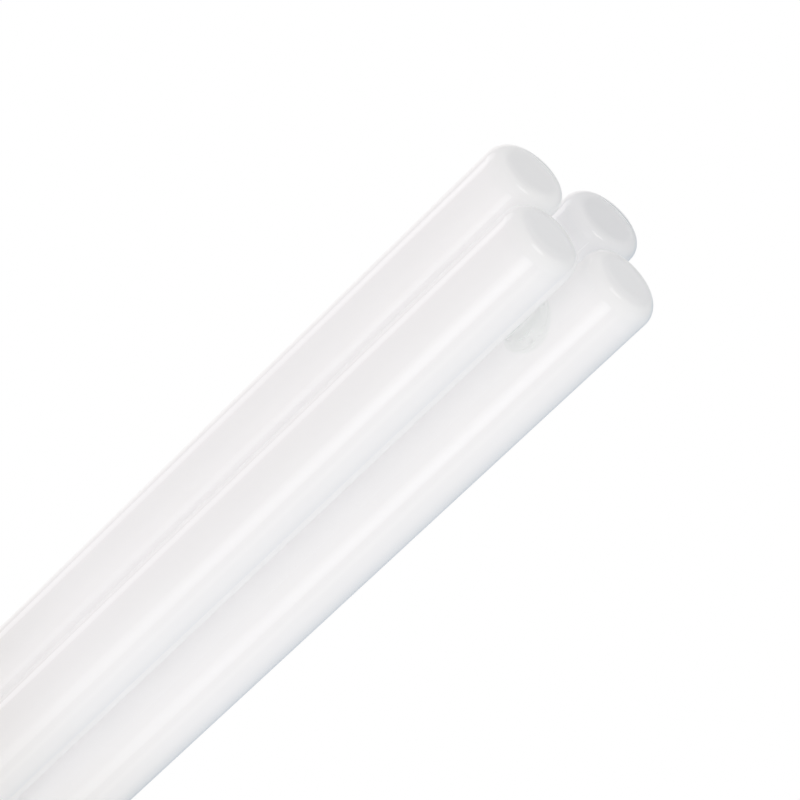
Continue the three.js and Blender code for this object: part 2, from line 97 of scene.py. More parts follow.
# Squared distance from the middle of the weld, in half sizes
WELD_EDGE = (1.12, 0.86)
# Painted shade near the tip of tube c
C_TIP_SHADE_TONE = (0.935, 0.938, 0.948)
C_TIP_SHADE_HEIGHTS = (TUBE_TIP - 11 * MM, TUBE_TIP - 3.5 * MM)

# Glass bridges. Sizes in pairs are half sizes, across and up
TIP_BRIDGE_LEVEL = TUBE_TIP - 13.7 * MM
BASE_BRIDGE_LEVEL = 48.0 * MM
BRIDGE_SEAT = 0.03 * MM
BRIDGE_BORE = (1.5 * MM, 2.5 * MM)
BRIDGE_NECK = (2.3 * MM, 3.3 * MM)
BRIDGE_FLARE = (3.15 * MM, 4.3 * MM)
BRIDGE_SIDES = 120
# Share of each half of a bridge that its round lip takes
BRIDGE_LIP = 0.08
# Faces up to this far off a tube count as melted into it
FUSED_SLACK = 0.02 * MM
# Drips of melted glass on the front bridge: their middle, spread and height
FRONT_DRIPS = (((1.32 * MM, -2.7 * MM, -0.3 * MM), 0.42 * MM, 0.16 * MM),
               ((1.0 * MM, -1.2 * MM, 3.2 * MM), 0.35 * MM, 0.12 * MM))
HAZE_CLOUD = 4 * MM

# Contact pins
PIN_RADIUS = 1.2 * MM
PIN_DOME = 0.8 * MM
PIN_TIP = 16.2 * MM
PIN_CRIMP_DEPTH = 0.07 * MM
PIN_CRIMP = PIN_TIP + 2.2 * MM
PIN_FLANGE_RADIUS = 1.8 * MM
PIN_FLANGE_FOOT, PIN_FLANGE_TOP = 25.5 * MM, 26.3 * MM
PIN_FLANGE_ROUND = 0.12 * MM
PIN_BORE_RADIUS = 0.65 * MM
PIN_BORE_END = 21.8 * MM
PIN_SIDES = 64
PIN_PLACES = [(11.5 * MM, 4 * MM), (-11.5 * MM, 4 * MM), (-11.5 * MM, -4 * MM),
              (11.5 * MM, -4 * MM)]

# Camera
CAMERA_LENS = 194.37
CAMERA_PLACE = (-0.30444, -0.42353, 0.40823)
CAMERA_RIGHT = (0.74964, -0.13622, 0.64767)
CAMERA_AHEAD = (0.52142, 0.72425, -0.45119)

# Floor: its half size, its white to the light it sends on and to the eye, and where it turns white
FLOOR_HALF = 4
FLOOR_LIT = (0.86, 0.86, 0.86)
FLOOR_SEEN = 1.26
FLOOR_WHITE_REACH = (40 * MM, 96 * MM)

# Studio light
MIRROR_GAIN = 0.05
STUDIO_BELOW = (0.752, 0.744, 0.748)
STUDIO_ABOVE = (0.772, 0.769, 0.769)
STUDIO_TURNS_AT = (-0.2, 0.25)
# Each panel: the azimuth of its middle, its four limits across and upright, and its light
SOFTBOXES = [
    (-107, (-30, -8, 3, 11), (-0.68, -0.42, -0.36, -0.02), (1.62, 1.62, 1.62)),
    (-140, (-45, -5, 15, 35), (-0.85, -0.6, -0.3, -0.1), (0.15, 0.145, 0.145)),
    (-73, (-9, -3, 3, 9), (-0.85, -0.6, -0.3, -0.1), (0.22, 0.22, 0.22)),
    (119, (-15, -5, 5, 15), (-0.85, -0.6, -0.3, -0.1), (0.93, 0.89, 0.92)),
    (116, (-14, -6, 6, 14), (-0.5, -0.25, 0.0, 0.3), (0.93, 0.93, 0.93)),
    (-55, (-38, -15, 15, 38), (-0.9, -0.6, 0.0, 0.3), (0.14, 0.139, 0.137)),
    (80, (-20, -8, 5, 24), (-0.9, -0.6, -0.1, 0.2), (0.31, 0.29, 0.28)),
    (-107, (-45, -28, 20, 38), (0.87, 0.90, 0.945, 0.965), (3.0, 3.0, 3.0)),
]
DARK_PANELS = [
    (25, (-60, -20, 14, 29), (-0.9, -0.6, -0.05, 0.2), (0.33, 0.25, 0.19)),
    (-35, (-40, -15, 15, 50), (-0.95, -0.7, 0.1, 0.4), (0.055, 0.035, 0.0)),
    (45, (-75, -30, 30, 75), (-0.05, 0.2, 0.55, 0.9), (0.22, 0.205, 0.20)),
    (180, (-80, -50, 30, 75), (-0.95, -0.8, 0.6, 0.9), (0.0, 0.014, 0.009)),
]


def scene_object(name, data):
    """A new object of the scene, at the origin, that shows the data."""
    made = bpy.data.objects.new(name, data)
    bpy.context.scene.collection.objects.link(made)
    return made


def mesh_object(name, points, faces):
    """A new smooth object from an array of points and an array or list of faces."""
    mesh = bpy.data.meshes.new(name)
    mesh.from_pydata(np.asarray(points, float).tolist(), [], [list(map(int, f)) for f in faces])
    mesh.update()
    mesh.polygons.foreach_set("use_smooth", np.ones(len(mesh.polygons), bool))
    return scene_object(name, mesh)


def grid_faces(rows, columns, wrap_rows=False):
    """Four-sided faces of a grid whose columns wrap round, and whose rows do if asked."""
    row = np.arange(rows if wrap_rows else rows - 1)[:, None]
    column = np.arange(columns)[None, :]
    above, beside = (row + 1) % rows, (column + 1) % columns
    return np.stack([row * columns + column, row * columns + beside,
                     above * columns + beside, above * columns + column], -1).reshape(-1, 4)


def arc_profile(radius, centre, start, end, steps):
    """Radius and height on an arc about centre, from angle start to end in degrees."""
    angle = np.radians(np.linspace(start, end, steps + 1))
    return np.stack([centre[0] + radius * np.cos(angle), centre[1] + radius * np.sin(angle)], 1)


def sloped(start, end, steps):
    """Points spread evenly along a straight stretch of a profile, without its end."""
    share = np.linspace(0, 1, steps, endpoint=False)[:, None]
    return np.asarray(start, float) + share * (np.asarray(end, float) - np.asarray(start, float))


def with_uneven_tip(points, place, above, rise):
    """The points of a tube whose closed end isn't quite square: each height grows by
    share * (above + rise * across), where across is the distance from the tube's axis along
    RISE_DIRECTION, and share is a smooth step from 0 below the end to 1 at its rim."""
    across = (points[:, :2] - np.asarray(place)) @ np.asarray(RISE_DIRECTION)
    share = np.clip((points[:, 2] - UNEVEN_FROM) / (UNEVEN_FULL - UNEVEN_FROM), 0, 1)
    share = share * share * (3 - 2 * share)
    return points + np.outer(share * (above + rise * across), (0, 0, 1))


def turned_piece(name, profile, place, sides, unevenness=None):
    """A piece turned about a vertical axis at place: point = (r cos t, r sin t, h) for each
    radius r and height h of the profile and each angle t. The profile starts and ends on the
    axis, where a fan of triangles closes it. A tube's closed end is made uneven if asked."""
    profile = np.asarray(profile, float)
    rings = profile[1:-1]
    angle = np.linspace(0, 2 * math.pi, sides, endpoint=False)
    radius, height = rings[:, 0, None], rings[:, 1, None]
    grid = np.stack([place[0] + radius * np.cos(angle), place[1] + radius * np.sin(angle),
                     height + 0 * angle], -1).reshape(-1, 3)
    points = np.vstack([grid, [*place, profile[0, 1]], [*place, profile[-1, 1]]])
    if unevenness:
        points = with_uneven_tip(points, place, *unevenness)
    first, last, top = len(grid), len(grid) + 1, (len(rings) - 1) * sides
    following = np.roll(np.arange(sides), -1)
    faces = list(grid_faces(len(rings), sides))
    faces += [(first, following[i], i) for i in range(sides)]
    faces += [(last, top + i, top + following[i]) for i in range(sides)]
    return mesh_object(name, points, faces)


def glass_profile(rim_radius):
    """The tube's wall, from the axis inside the tip to the axis on top of it: down the inside,
    whose rim is the outer arc less the wall, round the foot, up the outside and over the rim."""
    rim = (TUBE_RADIUS - rim_radius, TUBE_TIP - rim_radius)
    bore = TUBE_RADIUS - TUBE_WALL
    ceiling = TUBE_TIP - TUBE_WALL
    foot = TUBE_FOOT + FOOT_ROUND
    middle_ring, wall_ring, tip_ring = 0.8 * MM, 1 * MM, 0.4 * MM
    return np.vstack([
        [(0, ceiling)],
        sloped((middle_ring, ceiling), (rim[0], ceiling), 4),
        arc_profile(rim_radius - TUBE_WALL, rim, 90, 0, 24),
        sloped((bore, rim[1] - wall_ring), (bore, foot), 24),
        arc_profile(FOOT_ROUND, (bore + FOOT_ROUND, foot), 180, 270, 4),
        arc_profile(FOOT_ROUND, (TUBE_RADIUS - FOOT_ROUND, foot), 270, 345, 4),
        sloped((TUBE_RADIUS, foot), (TUBE_RADIUS, rim[1]), 24),
        arc_profile(rim_radius, rim, 0, 90, 28),
        sloped((rim[0] - tip_ring, TUBE_TIP), (0, TUBE_TIP), 4),
        [(0, TUBE_TIP)],
    ])


def coat_profile(rim_radius):
    """The coating, a skin a few hundredths of a millimetre thick along the inside of the wall: down
    its inner face from the axis to its foot, and back up its outer face."""
    rim = (TUBE_RADIUS - rim_radius, TUBE_TIP - rim_radius)

    def face(depth):
        side = TUBE_RADIUS - TUBE_WALL - depth
        top = TUBE_TIP - TUBE_WALL - depth
        return np.vstack([
            sloped((side, COAT_FOOT), (side, rim[1]), 24),
            arc_profile(rim_radius - TUBE_WALL - depth, rim, 0, 90, 24),
            [(rim[0] / 2, top), (0, top)],
        ])
    return np.vstack([face(COAT_THICKNESS - COAT_OVERLAP)[::-1], face(-COAT_OVERLAP)])


def with_drip(points, middle, spread, height):
    """The points of a bridge with one small drip of melted glass on it: each point moves away from
    the bridge's axis by height * exp(-(d / spread)^2), where d is its distance from middle."""
    reach = np.linalg.norm(points - np.asarray(middle), axis=1)
    outward = points * (0, 1, 1)
    outward = outward / np.linalg.norm(outward, axis=1, keepdims=True)
    return points + outward * (height * np.exp(-(reach / spread) ** 2))[:, None]


def bridge_piece(name, pitch, centre, along_y, drips=()):
    """A glass bridge between two tubes a pitch apart. Each ring is an ellipse whose points are
    pushed along the bridge onto the tubes' cylinders, x = run * (pitch / 2 - sqrt(R^2 - y^2)). Its
    half sizes swell from the neck towards the flare as the fourth power of the run, and end in a
    small round lip, a quarter circle in run and size, as melted glass does."""
    angle = np.linspace(0, 2 * math.pi, BRIDGE_SIDES, endpoint=False)
    hug = TUBE_RADIUS + BRIDGE_SEAT
    body = 1 - BRIDGE_LIP

    def ring(half, run):
        y, z = half[0] * np.cos(angle), half[1] * np.sin(angle)
        return np.stack([run * (pitch / 2 - np.sqrt(hug ** 2 - y ** 2)), y, z], 1)

    def mix(low, high, share):
        return [a + (b - a) * share for a, b in zip(low, high)]

    def end_face(run, shares):
        return [ring(mix(BRIDGE_BORE, BRIDGE_FLARE, share), run) for share in shares]

    shares = np.linspace(0, 1, 22)
    turn = np.radians(np.linspace(0, 90, 9)[1:])
    runs = np.concatenate([body * shares, 1 - BRIDGE_LIP * np.cos(turn)])
    swell = np.concatenate([body * shares ** 4, body + BRIDGE_LIP * np.sin(turn)])
    half_rings = [ring(mix(BRIDGE_NECK, BRIDGE_FLARE, size), run) for run, size in zip(runs, swell)]
    outside = [r * (-1, 1, 1) for r in half_rings[:0:-1]] + half_rings
    bore = [ring(BRIDGE_BORE, run) for run in np.linspace(1, -1, 9)]
    rings = outside + end_face(1, (0.7, 0.35)) + bore + end_face(-1, (0.35, 0.7))
    points = np.concatenate(rings)
    for drip in drips:
        points = with_drip(points, *drip)
    if along_y:
        points = points[:, [1, 0, 2]] * (-1, 1, 1)
    faces = grid_faces(len(rings), BRIDGE_SIDES, True)
    return mesh_object(name, points + np.asarray(centre), faces)


def pin_profile():
    """The pin from its pinched tip up to its flange and back down its bore: a domed end with a
    shallow dimple, a faint step where the tube was crimped on its wire, and a rounded flange."""
    waist = PIN_RADIUS - PIN_CRIMP_DEPTH
    dimple = [(0, PIN_TIP + 0.22 * MM), (0.18 * MM, PIN_TIP + 0.16 * MM),
              (0.3 * MM, PIN_TIP + 0.04 * MM)]
    barrel = [(PIN_RADIUS, PIN_CRIMP - 0.25 * MM), (waist, PIN_CRIMP),
              (waist, PIN_CRIMP + 0.5 * MM), (PIN_RADIUS, PIN_CRIMP + 0.75 * MM),
              (PIN_RADIUS, PIN_FLANGE_FOOT - 1.0 * MM), (PIN_RADIUS, PIN_FLANGE_FOOT)]
    bore = [(PIN_BORE_RADIUS, (PIN_FLANGE_TOP + PIN_BORE_END) / 2),
            (PIN_BORE_RADIUS, PIN_BORE_END), (0, PIN_BORE_END)]
    small = PIN_FLANGE_ROUND
    edge = PIN_FLANGE_RADIUS - small
    return np.vstack([
        dimple,
        arc_profile(PIN_DOME, (PIN_RADIUS - PIN_DOME, PIN_TIP + PIN_DOME), -90, 0, 14),
        barrel,
        arc_profile(small, (edge, PIN_FLANGE_FOOT + small), -90, 0, 5),
        arc_profile(small, (edge, PIN_FLANGE_TOP - small), 0, 90, 5),
        arc_profile(small, (PIN_BORE_RADIUS + small, PIN_FLANGE_TOP - small), 90, 180, 5),
        bore,
    ])


def softened(name, node, width):
    """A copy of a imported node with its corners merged, its flat faces whole again, its edges
    rounded and its round faces smooth."""
    piece = scene_object(name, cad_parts[node].data.copy())
    shape = bmesh.new()
    shape.from_mesh(piece.data)
    bmesh.ops.remove_doubles(shape, verts=shape.verts, dist=0.002 * MM)
    bmesh.ops.dissolve_limit(shape, angle_limit=math.radians(0.6), verts=shape.verts,
                             edges=shape.edges, delimit=set())
    shape.to_mesh(piece.data)
    shape.free()
    for layer in list(piece.data.attributes):
        if layer.name in ("custom_normal", "sharp_face", "sharp_edge"):
            piece.data.attributes.remove(layer)
    piece.data.polygons.foreach_set("use_smooth", np.ones(len(piece.data.polygons), bool))
    bevel = piece.modifiers.new("edges", "BEVEL")
    bevel.width = width
    bevel.segments = 3
    bevel.limit_method = "ANGLE"
    bevel.angle_limit = math.radians(28)
    bevel.harden_normals = True
    bevel.use_clamp_overlap = True
    return piece


def carry(piece, surface, slot, *nodes):
    """Gives a piece its one material, and lets it ride and stand for its nodes. Its slot argument
    is not used.
    """
    piece.data.materials.clear()
    piece.data.materials.append(surface)
    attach(piece, "root")
    if nodes:
        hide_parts(*nodes)


def feed(tree, socket, value):
    """Gives a socket its value, which is a constant or a socket to link."""
    if isinstance(value, bpy.types.NodeSocket):
        tree.links.new(value, socket)
    else:
        socket.default_value = value


def math_node(tree, operation, first, second=None):
    """One Math node whose inputs are numbers or sockets, as its output socket."""
    node = tree.nodes.new("ShaderNodeMath")
    node.operation = operation
    feed(tree, node.inputs[0], first)
    if second is not None:
        feed(tree, node.inputs[1], second)
    return node.outputs[0]


def vector_node(tree, operation, first, second):
    """One Vector Math node on two colours or vectors, as its output socket."""
    node = tree.nodes.new("ShaderNodeVectorMath")
    node.operation = operation
    feed(tree, node.inputs[0], first)
    feed(tree, node.inputs[1], second)
    return node.outputs["Vector"]


def scaled_colour(tree, colour, level):
    """A colour times a number."""
    node = tree.nodes.new("ShaderNodeVectorMath")
    node.operation = "SCALE"
    feed(tree, node.inputs[0], colour)
    feed(tree, node.inputs["Scale"], level)
    return node.outputs["Vector"]


def mix_colours(tree, factor, first, second, blend="MIX"):
    """Two colours, each three numbers or a socket, mixed by a factor."""
    mix = tree.nodes.new("ShaderNodeMix")
    mix.data_type = "RGBA"
    mix.blend_type = blend
    tree.links.new(factor, mix.inputs["Factor"])
    for socket, colour in ((mix.inputs[6], first), (mix.inputs[7], second)):
        feed(tree, socket, (*colour, 1) if isinstance(colour, tuple) else colour)
    return mix.outputs[2]


def mix_shaders(tree, factor, first, second):
    """Two shaders mixed by a factor."""
    mix = tree.nodes.new("ShaderNodeMixShader")
    for socket, value in zip(mix.inputs, (factor, first, second)):
        tree.links.new(value, socket)
    return mix.outputs[0]


def soft_step(tree, value, low, high, kind="SMOOTHSTEP"):
    """0 before low, 1 past high, and a soft step between. High may be the smaller of the two."""
    step = tree.nodes.new("ShaderNodeMapRange")
    step.interpolation_type = kind
    step.inputs["From Min"].default_value = low
    step.inputs["From Max"].default_value = high
    tree.links.new(value, step.inputs["Value"])
    return step.outputs["Result"]


def axes(tree, vector):
    """The X, Y and Z of a vector, as three sockets."""
    parts = tree.nodes.new("ShaderNodeSeparateXYZ")
    tree.links.new(vector, parts.inputs[0])
    return tuple(parts.outputs)


def object_point(tree, scale=(1, 1, 1)):
    """Object coordinates, stretched along the axes."""
    source = tree.nodes.new("ShaderNodeTexCoord")
    mapping = tree.nodes.new("ShaderNodeMapping")
    mapping.inputs["Scale"].default_value = scale
    tree.links.new(source.outputs["Object"], mapping.inputs["Vector"])
    return mapping.outputs["Vector"]


def material(name):
    """A new node material, its node tree and its Principled shader."""
    made = bpy.data.materials.new(name)
    made.use_nodes = True
    return made, made.node_tree, made.node_tree.nodes["Principled BSDF"]


def node_group(name, inputs, outputs):
    """A shader node group with its sockets, and its input and output nodes."""
    tree = bpy.data.node_groups.new(name, "ShaderNodeTree")
    for label, kind in inputs:
        tree.interface.new_socket(label, in_out="INPUT", socket_type=kind)
    for label, kind in outputs:
        tree.interface.new_socket(label, in_out="OUTPUT", socket_type=kind)
    return tree, tree.nodes.new("NodeGroupInput"), tree.nodes.new("NodeGroupOutput")


def place_group(tree, group, **values):
    """The output of a group placed in a material's tree. Each value is a number or a socket."""
    node = tree.nodes.new("ShaderNodeGroup")
    node.node_tree = group
    for label, value in values.items():
        feed(tree, node.inputs[label], value)
    return node.outputs[0]


def group_noise(tree, given, detail):
    """Noise over the Point that a group is given, with clouds of the Size that it is given."""
    noise = tree.nodes.new("ShaderNodeTexNoise")
    noise.inputs["Detail"].default_value = detail
    tree.links.new(given.outputs["Point"], noise.inputs["Vector"])
    tree.links.new(math_node(tree, "DIVIDE", 1.0, given.outputs["Size"]), noise.inputs["Scale"])
    return noise.outputs["Fac"]


def make_mottling():
    """Cloudy variation: a value that wanders between Low and High over the surface."""
    tree, given, result = node_group(
        "mottling",
        [("Point", "NodeSocketVector"), ("Size", "NodeSocketFloat"),
         ("Low", "NodeSocketFloat"), ("High", "NodeSocketFloat")],
        [("Value", "NodeSocketFloat")])
    spread = tree.nodes.new("ShaderNodeMapRange")
    spread.inputs["From Min"].default_value = 0.3
    spread.inputs["From Max"].default_value = 0.7
    tree.links.new(group_noise(tree, given, 4), spread.inputs["Value"])
    tree.links.new(given.outputs["Low"], spread.inputs["To Min"])
    tree.links.new(given.outputs["High"], spread.inputs["To Max"])
    tree.links.new(spread.outputs["Result"], result.inputs["Value"])
    return tree


def make_grain():
    """Fine unevenness of a surface: bumps of one size and height, as a normal."""
    tree, given, result = node_group(
        "grain",
        [("Point", "NodeSocketVector"), ("Size", "NodeSocketFloat"),
         ("Height", "NodeSocketFloat")],
        [("Normal", "NodeSocketVector")])
    bump = tree.nodes.new("ShaderNodeBump")
    tree.links.new(given.outputs["Height"], bump.inputs["Distance"])
    tree.links.new(group_noise(tree, given, 3), bump.inputs["Height"])
    tree.links.new(bump.outputs["Normal"], result.inputs["Normal"])
    return tree


mottling = make_mottling()
grain = make_grain()


def finish(name, colours, cloud, roughness, roughness_cloud, bump, metal=0.0, stretch=(1, 1, 1),
           shine=0.5):
    """A solid finish. Two colours, two roughnesses and a bump, each with its own grain size in
    metres, all on Object coordinates; stretch lengthens the grain along the axes."""
    made, tree, shader = material(name)
    point = object_point(tree, stretch)
    shade = place_group(tree, mottling, Point=point, Size=cloud, Low=0.0, High=1.0)
    tree.links.new(mix_colours(tree, shade, *colours), shader.inputs["Base Color"])
    rough = place_group(tree, mottling, Point=point, Size=roughness_cloud, Low=roughness[0],
                        High=roughness[1])
    tree.links.new(rough, shader.inputs["Roughness"])
    surface = place_group(tree, grain, Point=point, Size=bump[0], Height=bump[1])
    tree.links.new(surface, shader.inputs["Normal"])
    shader.inputs["Metallic"].default_value = metal
    shader.inputs["Specular IOR Level"].default_value = shine
    return made


def tube_distance(tree, point):
    """Distance to the axis of the nearest tube, in the plane across the tubes."""
    x, y, _ = axes(tree, point)
    total = 0.0
    for value, middle in ((x, PAIR_PITCH / 2), (y, ROW_PITCH / 2)):
        off = math_node(tree, "SUBTRACT", math_node(tree, "ABSOLUTE", value), middle)
        total = math_node(tree, "ADD", math_node(tree, "MULTIPLY", off, off), total)
    return math_node(tree, "SQRT", total)


def fused_mask(tree):
    """1 on faces of a bridge that lie against a tube, where the real glass is melted into one
    piece and has no surface, and 0 elsewhere."""
    return math_node(tree, "LESS_THAN", tube_distance(tree, object_point(tree)),
                     TUBE_RADIUS + BRIDGE_SEAT + FUSED_SLACK)


def glass_material(name, colour, wave_size, wave_height, stretch=(1, 1, 1), haze=(0.0, 0.03),
                   fused=False):
    """Clear glass with a slightly wavy surface. Lamps and light scattered by the coating pass
    straight through it, so that the white coating behind it is lit as it is on the real tube."""
    made, tree, shader = material(name)
    point = object_point(tree, stretch)
    shader.inputs["Base Color"].default_value = (*colour, 1)
    shader.inputs["Transmission Weight"].default_value = 1
    shader.inputs["IOR"].default_value = 1.5
    rough = place_group(tree, mottling, Point=point, Size=HAZE_CLOUD, Low=haze[0], High=haze[1])
    tree.links.new(rough, shader.inputs["Roughness"])
    surface = place_group(tree, grain, Point=point, Size=wave_size, Height=wave_height)
    tree.links.new(surface, shader.inputs["Normal"])
    path = tree.nodes.new("ShaderNodeLightPath")
    scattered = math_node(tree, "MAXIMUM", path.outputs["Is Shadow Ray"],
                          path.outputs["Is Diffuse Ray"])
    if fused:
        scattered = math_node(tree, "MAXIMUM", scattered, fused_mask(tree))
    through = tree.nodes.new("ShaderNodeBsdfTransparent")
    whole = mix_shaders(tree, scattered, shader.outputs[0], through.outputs[0])
    tree.links.new(whole, tree.nodes["Material Output"].inputs["Surface"])
    return made


def weld_mask(tree, point):
    """1 where the coating is wiped away round a bridge and 0 elsewhere, with a soft edge. It is an
    ellipse across and up round each bridge's axis, on the side of the tube where the bridge is."""
    x, y, z = axes(tree, point)

    def patch(across, across_at, inward, inward_limit, level):
        side = math_node(tree, "DIVIDE", math_node(tree, "SUBTRACT", across, across_at),
                         WELD_HALF[0])
        rise = math_node(tree, "DIVIDE", math_node(tree, "SUBTRACT", z, level), WELD_HALF[1])
        reach = math_node(tree, "ADD", math_node(tree, "MULTIPLY", side, side),
                          math_node(tree, "MULTIPLY", rise, rise))
        facing = math_node(tree, "LESS_THAN", inward, inward_limit)
        return math_node(tree, "MULTIPLY", soft_step(tree, reach, *WELD_EDGE), facing)

    half_x, half_y = PAIR_PITCH / 2, ROW_PITCH / 2
    flat_x, flat_y = math_node(tree, "ABSOLUTE", x), math_node(tree, "ABSOLUTE", y)
    return math_node(tree, "MAXIMUM", patch(flat_y, half_y, flat_x, half_x, TIP_BRIDGE_LEVEL),
                     patch(x, half_x, flat_y, half_y, BASE_BRIDGE_LEVEL))


def disc_shade_mask(tree, point):
    """1 on the flat disc at a tube's tip, which gets painted shade, and 0 elsewhere."""
    high = math_node(tree, "GREATER_THAN", axes(tree, point)[2], DISC_ABOVE)
    return math_node(tree, "MULTIPLY", soft_step(tree, tube_distance(tree, point), *DISC_RADII),
                     high)


def front_disc_lit_mask(tree, point):
    """1 on the discs of the front tubes b and d, whose painted shade is lighter than on the
    others, as more light reaches them, and 0 elsewhere."""
    return math_node(tree, "MULTIPLY", disc_shade_mask(tree, point),
                     math_node(tree, "LESS_THAN", axes(tree, point)[1], 0.0))


def c_tip_shade_mask(tree, point):
    """1 near the tip of tube c, which gets painted shade where the other tubes shade it, and 0
    elsewhere.
    """
    x, y, z = axes(tree, point)
    corner = math_node(tree, "MULTIPLY", math_node(tree, "GREATER_THAN", x, 0.0),
                       math_node(tree, "GREATER_THAN", y, 0.0))
    return math_node(tree, "MULTIPLY", corner, soft_step(tree, z, *C_TIP_SHADE_HEIGHTS))


def far_from_lamp(tree, near, far):
    """0 within the near distance of the lamp's axis, measured level, and 1 past the far one, with
    a soft step."""
    distance = tree.nodes.new("ShaderNodeVectorMath")
    distance.operation = "LENGTH"
    tree.links.new(object_point(tree, (1, 1, 0)), distance.inputs[0])
    return soft_step(tree, distance.outputs["Value"], near, far, "SMOOTHERSTEP")


def coat_material():
    """The white phosphor coating: matt, faintly cloudy along the tube, a little greyer towards the
    foot except where two tubes face each other, with painted shade round the rims, on the discs at
    the tips (lighter on the front tubes) and on the tip of tube c, and wiped away round the
    bridges, where greenish bare glass shows, greyed by painted shade of the tube's inside."""
    made, tree, shader = material("phosphor_coat")
    point = object_point(tree)
    z = axes(tree, point)[2]
    cloud = place_group(tree, mottling, Point=object_point(tree, (1, 1, 0.25)), Size=COAT_CLOUD,
                        Low=0.0, High=1.0)
    colour = mix_colours(tree, cloud, *COAT_WHITES)
    foot = math_node(tree, "MULTIPLY", soft_step(tree, z, *FOOT_HEIGHTS),
                     far_from_lamp(tree, *FOOT_REACH))
    for mask, tone, blend in ((foot, FOOT_TONE, "MIX"),
                              (soft_step(tree, z, *RIM_SHADE_HEIGHTS), RIM_SHADE_TONE, "MIX"),
                              (disc_shade_mask(tree, point), DISC_SHADE_TONE, "MIX"),
                              (front_disc_lit_mask(tree, point), FRONT_DISC_LIT_TONE, "MIX"),
                              (weld_mask(tree, point), WELD_GLASS_AND_SHADE_TONE, "MIX"),
                              (c_tip_shade_mask(tree, point), C_TIP_SHADE_TONE, "MULTIPLY")):
        colour = mix_colours(tree, mask, colour, tone, blend)
    tree.links.new(colour, shader.inputs["Base Color"])
    shader.inputs["Roughness"].default_value = 1
    shader.inputs["Specular IOR Level"].default_value = 0
    return made


def seen_straight(tree):
    """1 for rays from the camera, from a mirror-like surface or through glass, and 0 for the
    rays that carry light to a matt surface."""
    path = tree.nodes.new("ShaderNodeLightPath")
    total = path.outputs["Is Camera Ray"]
    for kind in ("Is Glossy Ray", "Is Transmission Ray"):
        total = math_node(tree, "MAXIMUM", total, path.outputs[kind])
    return total


def floor_material():
    """Plain, pale and matt, with the lamp's own shadow near the lamp and clean white further off.
    The floor doesn't show from below."""
    made, tree, shader = material("floor")
    shader.inputs["Roughness"].default_value = 0.9
    shader.inputs["Specular IOR Level"].default_value = 0.1
    straight = seen_straight(tree)
    pale = mix_colours(tree, straight, FLOOR_LIT, scaled_colour(tree, (1, 1, 1), FLOOR_SEEN))
    tree.links.new(pale, shader.inputs["Base Color"])
    white = tree.nodes.new("ShaderNodeEmission")
    white.inputs["Strength"].default_value = 1
    open_air = tree.nodes.new("ShaderNodeBsdfTransparent")
    side = tree.nodes.new("ShaderNodeNewGeometry")
    white_share = math_node(tree, "MULTIPLY", straight, far_from_lamp(tree, *FLOOR_WHITE_REACH))
    above = mix_shaders(tree, white_share, shader.outputs[0], white.outputs[0])
    whole = mix_shaders(tree, side.outputs["Backfacing"], above, open_air.outputs[0])
    tree.links.new(whole, tree.nodes["Material Output"].inputs["Surface"])
    return made


def softbox(tree, direction, middle, across, upright, colour):
    """Light from one softbox, as a colour socket. It is round the azimuth called middle, and across
    gives four angles from there in degrees: where it starts, is full, starts to fade and ends.
    upright gives the same four as heights, the sine of the angle above the horizon."""
    turned = tree.nodes.new("ShaderNodeVectorRotate")
    turned.rotation_type = "Z_AXIS"
    turned.inputs["Angle"].default_value = -math.radians(middle)
    tree.links.new(direction, turned.inputs["Vector"])
    x, y, z = axes(tree, turned.outputs[0])

    def window(value, limits):
        start, full, fade, end = limits
        return math_node(tree, "MULTIPLY", soft_step(tree, value, start, full),
                         soft_step(tree, value, end, fade))

    angle = math_node(tree, "ARCTAN2", y, x)
    share = math_node(tree, "MULTIPLY", window(angle, [math.radians(v) for v in across]),
                      window(z, upright))
    return scaled_colour(tree, colour, share)


def studio_light(tree):
    """The studio round the lamp: pale everywhere and a little brighter above, less the light that
    the dark panels keep off, and with the softboxes added."""
    source = tree.nodes.new("ShaderNodeTexCoord")
    direction = source.outputs["Generated"]
    height = soft_step(tree, axes(tree, direction)[2], *STUDIO_TURNS_AT)
    light = mix_colours(tree, height, STUDIO_BELOW, STUDIO_ABOVE)
    for panel in DARK_PANELS:
        light = vector_node(tree, "SUBTRACT", light, softbox(tree, direction, *panel))
    for panel in SOFTBOXES:
        light = vector_node(tree, "ADD", light, softbox(tree, direction, *panel))
    return light


def add_world():
    """The world: plain white to the camera and through glass, and the studio to everything else,
    a little brighter in mirror-like surfaces."""
    world = bpy.data.worlds.new("studio")
    bpy.context.scene.world = world
    world.use_nodes = True
    tree = world.node_tree
    path = tree.nodes.new("ShaderNodeLightPath")
    straight = math_node(tree, "MAXIMUM", path.outputs["Is Camera Ray"],
                         path.outputs["Is Transmission Ray"])
    gain = math_node(tree, "MULTIPLY", path.outputs["Is Glossy Ray"], MIRROR_GAIN)
    light = scaled_colour(tree, studio_light(tree), math_node(tree, "ADD", gain, 1.0))
    tree.links.new(mix_colours(tree, straight, light, (1, 1, 1)),
                   tree.nodes["Background"].inputs["Color"])


def add_camera():
    """The camera, placed and turned so that the lamp lies in the picture as in the photo."""
    data = bpy.data.cameras.new("camera")
    data.lens = CAMERA_LENS
    data.sensor_width = 36
    data.clip_start, data.clip_end = 0.01, 20
    camera = scene_object("camera", data)
    right, ahead = Vector(CAMERA_RIGHT).normalized(), Vector(CAMERA_AHEAD).normalized()
    turn = Matrix((right, right.cross(ahead), -ahead)).transposed()
    camera.matrix_world = Matrix.Translation(CAMERA_PLACE) @ turn.to_4x4()
    bpy.context.scene.camera = camera


